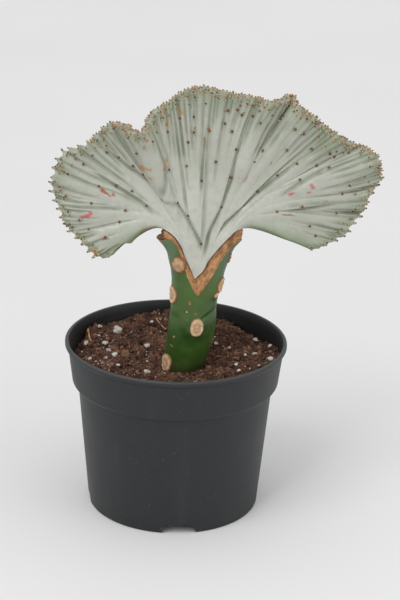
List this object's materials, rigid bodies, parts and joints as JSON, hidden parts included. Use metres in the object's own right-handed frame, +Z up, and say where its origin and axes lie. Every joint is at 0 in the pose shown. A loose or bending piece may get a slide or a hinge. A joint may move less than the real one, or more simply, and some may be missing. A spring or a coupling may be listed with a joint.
{
  "type": "potted crested euphorbia",
  "caption": "Fan-shaped crested euphorbia grafted in the V cleft of a green stock stem, growing in a round nursery pot of peaty mix; a standing houseplant.",
  "frame": {"origin": "centre of the pot's flat base, on the surface it stands on", "axes": "+Z up the plant, +X to the right of the crest's broad face, -Y out of the broad face toward the viewer"},
  "size_m": [0.225, 0.155, 0.3047],
  "materials": {
    "pot_plastic": "satin",
    "soil": "matte",
    "rootstock": "satin",
    "crest": "satin",
    "perlite": "matte",
    "bark": "matte",
    "straw": "matte"
  },
  "bodies": {
    "root": {"pot": "pot_plastic", "soil": "soil", "rootstock": "rootstock", "scion_crest": "crest", "perlite_grain_01": "perlite", "perlite_grain_02": "perlite", "perlite_grain_03": "perlite", "perlite_grain_04": "perlite", "perlite_grain_05": "perlite", "perlite_grain_06": "perlite", "perlite_grain_07": "perlite", "perlite_grain_08": "perlite", "perlite_grain_09": "perlite", "perlite_grain_10": "perlite", "perlite_grain_11": "perlite", "perlite_grain_12": "perlite", "perlite_grain_13": "perlite", "perlite_grain_14": "perlite", "perlite_grain_15": "perlite", "perlite_grain_16": "perlite", "perlite_grain_17": "perlite", "perlite_grain_18": "perlite", "perlite_grain_19": "perlite", "perlite_grain_20": "perlite", "perlite_grain_21": "perlite", "perlite_grain_22": "perlite", "perlite_grain_23": "perlite", "perlite_grain_24": "perlite", "perlite_grain_25": "perlite", "perlite_grain_26": "perlite", "perlite_grain_27": "perlite", "bark_chip_01": "bark", "bark_chip_02": "bark", "bark_chip_03": "bark", "bark_chip_04": "bark", "bark_chip_05": "bark", "straw_01": "straw", "straw_02": "straw", "straw_03": "straw"}
  },
  "joints": []
}
